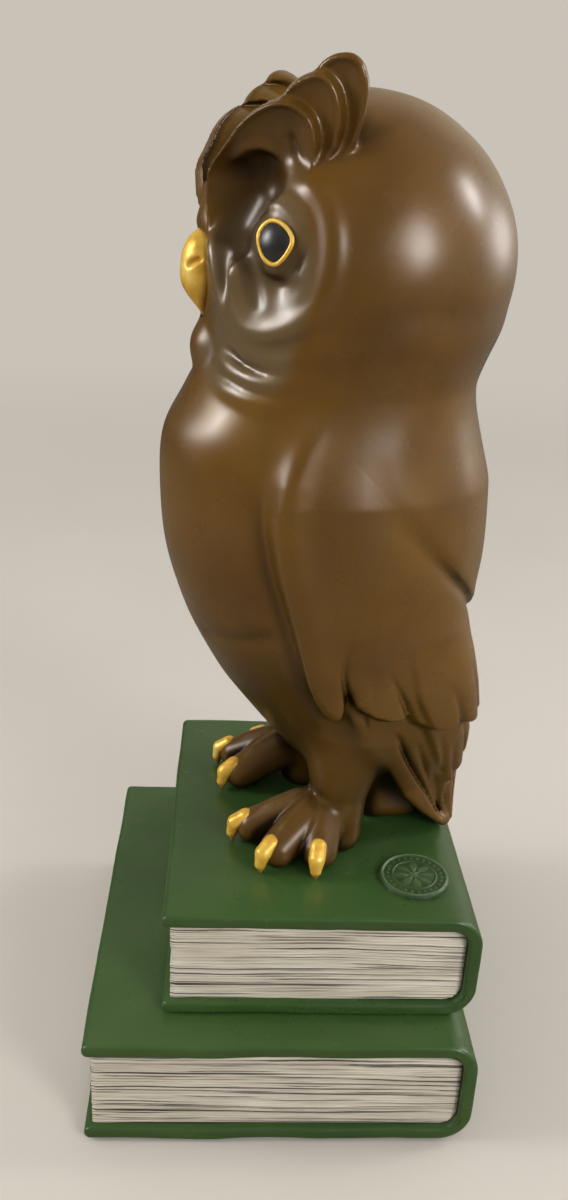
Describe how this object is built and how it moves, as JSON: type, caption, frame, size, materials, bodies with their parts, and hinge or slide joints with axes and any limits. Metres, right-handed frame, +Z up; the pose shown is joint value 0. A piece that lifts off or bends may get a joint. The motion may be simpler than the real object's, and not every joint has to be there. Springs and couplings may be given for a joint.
{
  "type": "bookend",
  "caption": "Bookend shaped as a round-headed owl standing on two stacked books, with a flat felted base and flat book spines as its bearing face.",
  "frame": {"origin": "centre of the felted underside of the lower book, on the shelf plane", "axes": "+Z up, +Y towards the row of books that the spines bear against, the owl looks towards -Y, +X along the spines towards the owl's left"},
  "size_m": [0.141, 0.12, 0.3063],
  "materials": {
    "bronze": "brown patina under satin lacquer",
    "gilt": "gilt paint, satin",
    "green_enamel": "semi-gloss green enamel",
    "page_paint": "off-white paint with a dark wash in the grooves",
    "eye_enamel": "glossy dark grey enamel",
    "steel": "zinc-plated hardware",
    "felt": "dark green felt"
  },
  "bodies": {
    "root": {"felt_pad": "felt", "lower_book_case": "green_enamel", "lower_page_block": "page_paint", "upper_book_case": "green_enamel", "upper_page_block": "page_paint", "foundry_seal": "green_enamel", "tie_studs": "steel", "stud_washers": "steel", "stud_nuts": "steel", "owl_body": "bronze", "wing_left": "bronze", "wing_right": "bronze", "wing_pins": "steel", "tail": "bronze", "tail_pins": "steel", "foot_left": "bronze", "foot_right": "bronze", "talons_left": "gilt", "talons_right": "gilt", "brow_tuft_left": "bronze", "brow_tuft_right": "bronze", "tuft_pins": "steel", "beak": "gilt", "eye_rim_left": "gilt", "eye_rim_right": "gilt", "eye_left": "eye_enamel", "eye_right": "eye_enamel"}
  },
  "joints": []
}
